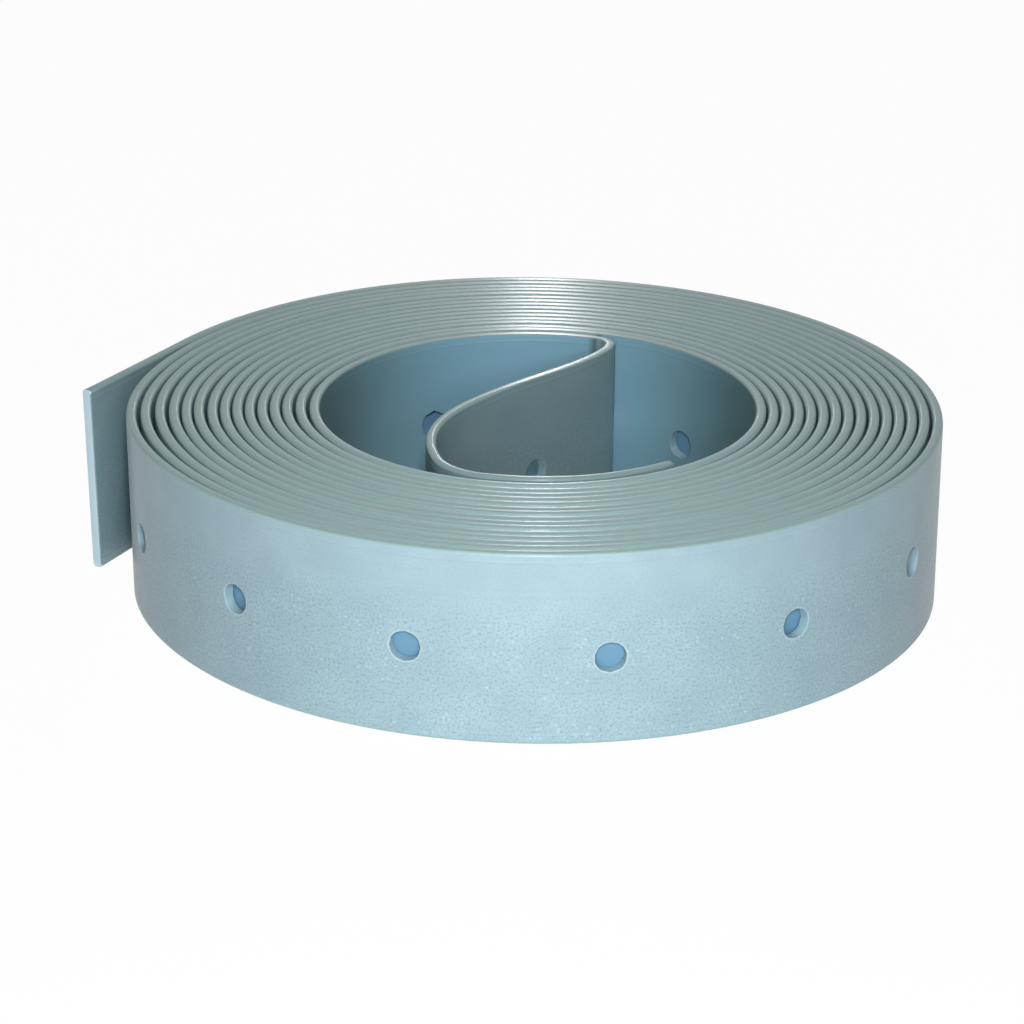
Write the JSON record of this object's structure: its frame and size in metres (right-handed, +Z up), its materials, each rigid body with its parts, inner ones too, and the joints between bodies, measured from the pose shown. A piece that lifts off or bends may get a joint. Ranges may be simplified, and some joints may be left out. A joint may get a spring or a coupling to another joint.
{
  "type": "pipe hanger strap",
  "caption": "Flat coil of perforated plastic strap, for cutting to length and nailing round pipes as hangers.",
  "frame": {"origin": "centre of the coil's bounding box, free end included, in the plane of its lower edges", "axes": "+Z up along the coil's axis; the free end lies off the coil's -X side; +Y points away from the view of the picture"},
  "size_m": [0.0858, 0.08, 0.0191],
  "materials": {
    "strap_plastic": "extruded blue-grey plastic with a soft sheen"
  },
  "bodies": {
    "root": {"strap": "strap_plastic"}
  },
  "joints": []
}
